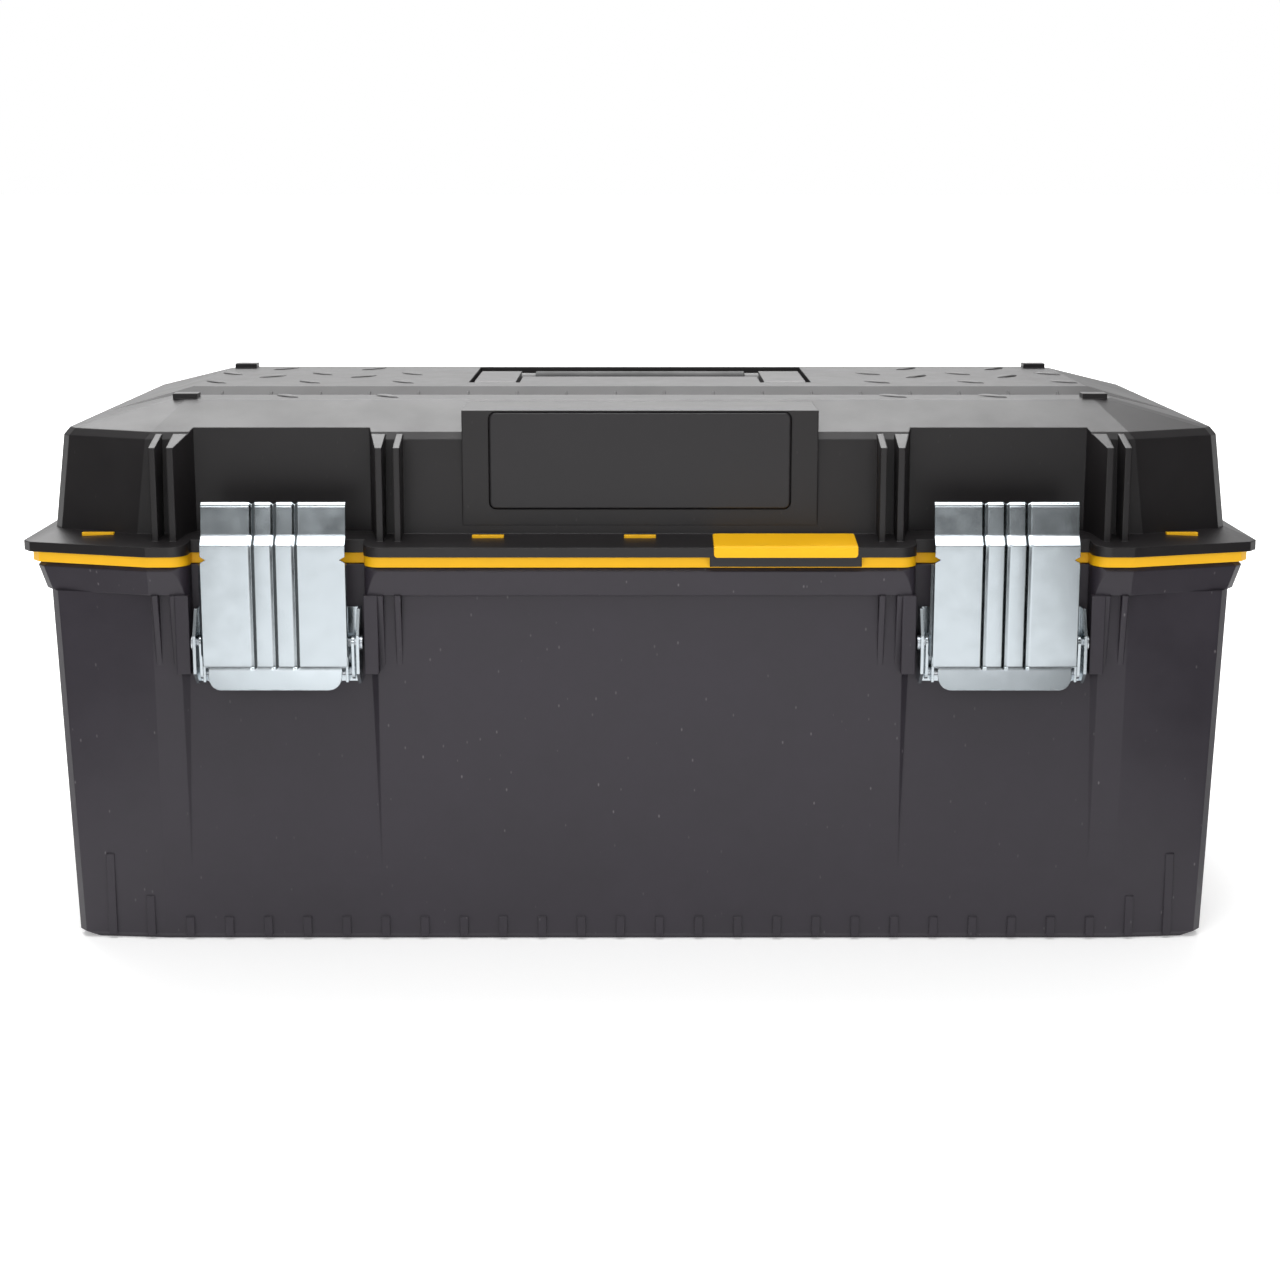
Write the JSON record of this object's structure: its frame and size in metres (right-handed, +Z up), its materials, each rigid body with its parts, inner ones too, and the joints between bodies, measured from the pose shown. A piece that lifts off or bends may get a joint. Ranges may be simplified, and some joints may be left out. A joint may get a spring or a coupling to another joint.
{
  "type": "tool box",
  "caption": "Moulded tool box with a hinged hipped lid, soft perimeter seal, pressed steel draw latches, flush fold-down carrying handle and a tray on ledges inside.",
  "frame": {"origin": "under the middle of the base, on the surface that the box stands on", "axes": "+X to the right along the length, +Y to the back, +Z up"},
  "size_m": [0.584, 0.311, 0.261],
  "materials": {
    "moulded_foam": "moulded, fine matte grain",
    "lid_plastic": "moulded, satin",
    "soft_seal": "soft matte",
    "plate_plastic": "satin",
    "handle_plastic": "moulded, fine matte grain",
    "grip_rubber": "soft matte",
    "pin_steel": "zinc plated",
    "zinc_sheet": "bright zinc plated sheet",
    "tray_plastic": "moulded, satin"
  },
  "bodies": {
    "tub": {"tub_shell": "moulded_foam", "latch_bracket_left": "zinc_sheet", "latch_bracket_right": "zinc_sheet", "latch_pivot_pin_left": "pin_steel", "latch_pivot_pin_right": "pin_steel", "bracket_rivets": "pin_steel", "hinge_pin_left": "pin_steel", "hinge_pin_right": "pin_steel"},
    "lid": {"lid_shell": "lid_plastic", "lid_seal": "soft_seal", "lift_pad": "soft_seal", "name_plate": "plate_plastic", "handle_pin_left": "pin_steel", "handle_pin_right": "pin_steel"},
    "handle": {"handle_frame": "handle_plastic", "handle_grip": "grip_rubber"},
    "latch_links_left": {"latch_links_left": "zinc_sheet", "latch_lever_pin_left": "pin_steel"},
    "latch_links_right": {"latch_links_right": "zinc_sheet", "latch_lever_pin_right": "pin_steel"},
    "latch_plate_left": {"latch_plate_left": "zinc_sheet"},
    "latch_plate_right": {"latch_plate_right": "zinc_sheet"},
    "tray": {"tote_tray": "tray_plastic"}
  },
  "joints": [
    {"name": "lid_hinge", "type": "hinge", "parent": "tub", "child": "lid", "pos_m": [0, 0.1495, 0.189], "axis": [-1, 0, 0], "range_deg": [0, 100]},
    {"name": "handle_hinge", "type": "hinge", "parent": "lid", "child": "handle", "pos_m": [0, 0.006, 0.2502], "axis": [1, 0, 0], "range_deg": [0, 90]},
    {"name": "latch_left_links", "type": "hinge", "parent": "tub", "child": "latch_links_left", "pos_m": [-0.1705, -0.1445, 0.15], "axis": [-1, 0, 0], "range_deg": [0, 120]},
    {"name": "latch_left_plate", "type": "hinge", "parent": "latch_links_left", "child": "latch_plate_left", "pos_m": [-0.1705, -0.1437, 0.136], "axis": [1, 0, 0], "range_deg": [0, 180]},
    {"name": "latch_right_links", "type": "hinge", "parent": "tub", "child": "latch_links_right", "pos_m": [0.1705, -0.1445, 0.15], "axis": [-1, 0, 0], "range_deg": [0, 120]},
    {"name": "latch_right_plate", "type": "hinge", "parent": "latch_links_right", "child": "latch_plate_right", "pos_m": [0.1705, -0.1437, 0.136], "axis": [1, 0, 0], "range_deg": [0, 180]},
    {"name": "tray_slide", "type": "slide", "parent": "tub", "child": "tray", "axis": [1, 0, 0], "range_m": [0, 0.272]}
  ],
  "couplings": [
    {"joint": "latch_left_plate", "follows": "latch_left_links", "ratio": 1.5},
    {"joint": "latch_right_plate", "follows": "latch_right_links", "ratio": 1.5}
  ]
}
